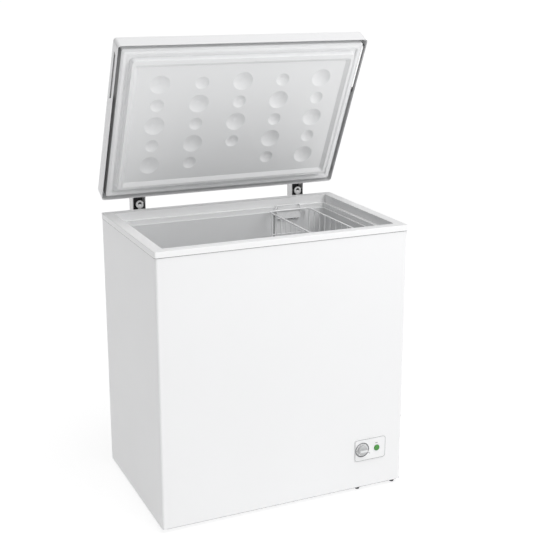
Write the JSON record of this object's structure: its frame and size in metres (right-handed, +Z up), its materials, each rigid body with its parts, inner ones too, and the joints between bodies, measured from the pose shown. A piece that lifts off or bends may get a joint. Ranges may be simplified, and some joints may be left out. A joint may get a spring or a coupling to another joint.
{
  "type": "chest freezer",
  "caption": "Small free-standing chest freezer with its top lid hinged open, hanging wire basket, front thermostat dial and lamp, and rear compressor bay.",
  "frame": {"origin": "on the floor, at the centre of the footprint with the lid open as stored", "axes": "+Z up, front of the cabinet towards -Y, +X to the right of someone facing the front"},
  "size_m": [0.742, 0.5534, 1.3025],
  "materials": {
    "white_paint": "satin",
    "galvanised": "satin",
    "foam": "matte",
    "liner_white": "satin",
    "trim_white": "satin",
    "lid_white": "satin",
    "dark_plastic": "matte",
    "zinc": "satin",
    "black_rubber": "matte",
    "black_paint": "satin",
    "copper": "satin",
    "tube_aluminium": "satin",
    "tube_steel": "satin",
    "panel_grey": "satin",
    "green_lens": "gloss",
    "knob_white": "satin",
    "spring_steel": "satin",
    "gasket_grey": "matte",
    "basket_white": "gloss"
  },
  "bodies": {
    "cabinet": {"back_panel": "galvanised", "bottom_pan": "galvanised", "cabinet_foam": "foam", "capillary_tube": "copper", "compressor": "black_paint", "compressor_base": "galvanised", "compressor_bolts": "zinc", "compressor_grommets": "black_rubber", "condenser_coil": "tube_steel", "control_bezel": "panel_grey", "cord_inlet": "black_rubber", "discharge_tube": "copper", "evaporator_coil": "tube_aluminium", "filter_drier": "copper", "foot_studs": "zinc", "grille_screws": "zinc", "hinge_brackets": "zinc", "hinge_covers": "dark_plastic", "hinge_pins": "zinc", "hinge_screws": "zinc", "hinge_springs": "spring_steel", "indicator_lens": "green_lens", "inner_liner": "liner_white", "lamp_holder": "dark_plastic", "levelling_feet": "dark_plastic", "machine_bulkhead": "galvanised", "outer_wrap": "white_paint", "rear_grille": "white_paint", "relay_cover": "dark_plastic", "sensor_capillary": "copper", "spring_yokes": "zinc", "suction_tube": "copper", "thermostat_body": "dark_plastic", "top_rim": "trim_white"},
    "lid": {"hinge_leaves": "zinc", "leaf_screws": "zinc", "lid_foam": "foam", "lid_gasket": "gasket_grey", "lid_inner_liner": "liner_white", "lid_outer_shell": "lid_white", "lid_side_grips": "trim_white"},
    "basket": {"wire_basket": "basket_white"},
    "knob": {"thermostat_knob": "knob_white", "thermostat_shaft": "zinc"}
  },
  "joints": [
    {"name": "lid_hinge", "type": "hinge", "parent": "cabinet", "child": "lid", "pos_m": [0, 0.26055, 0.8248], "axis": [-1, 0, 0], "range_deg": [-63.5, 16.5]},
    {"name": "basket_slide", "type": "slide", "parent": "cabinet", "child": "basket", "axis": [1, 0, 0], "range_m": [-0.44, 0.04]},
    {"name": "thermostat_turn", "type": "hinge", "parent": "cabinet", "child": "knob", "pos_m": [0.238, -0.27125, 0.1312], "axis": [0, -1, 0], "range_deg": [0, 270]}
  ]
}
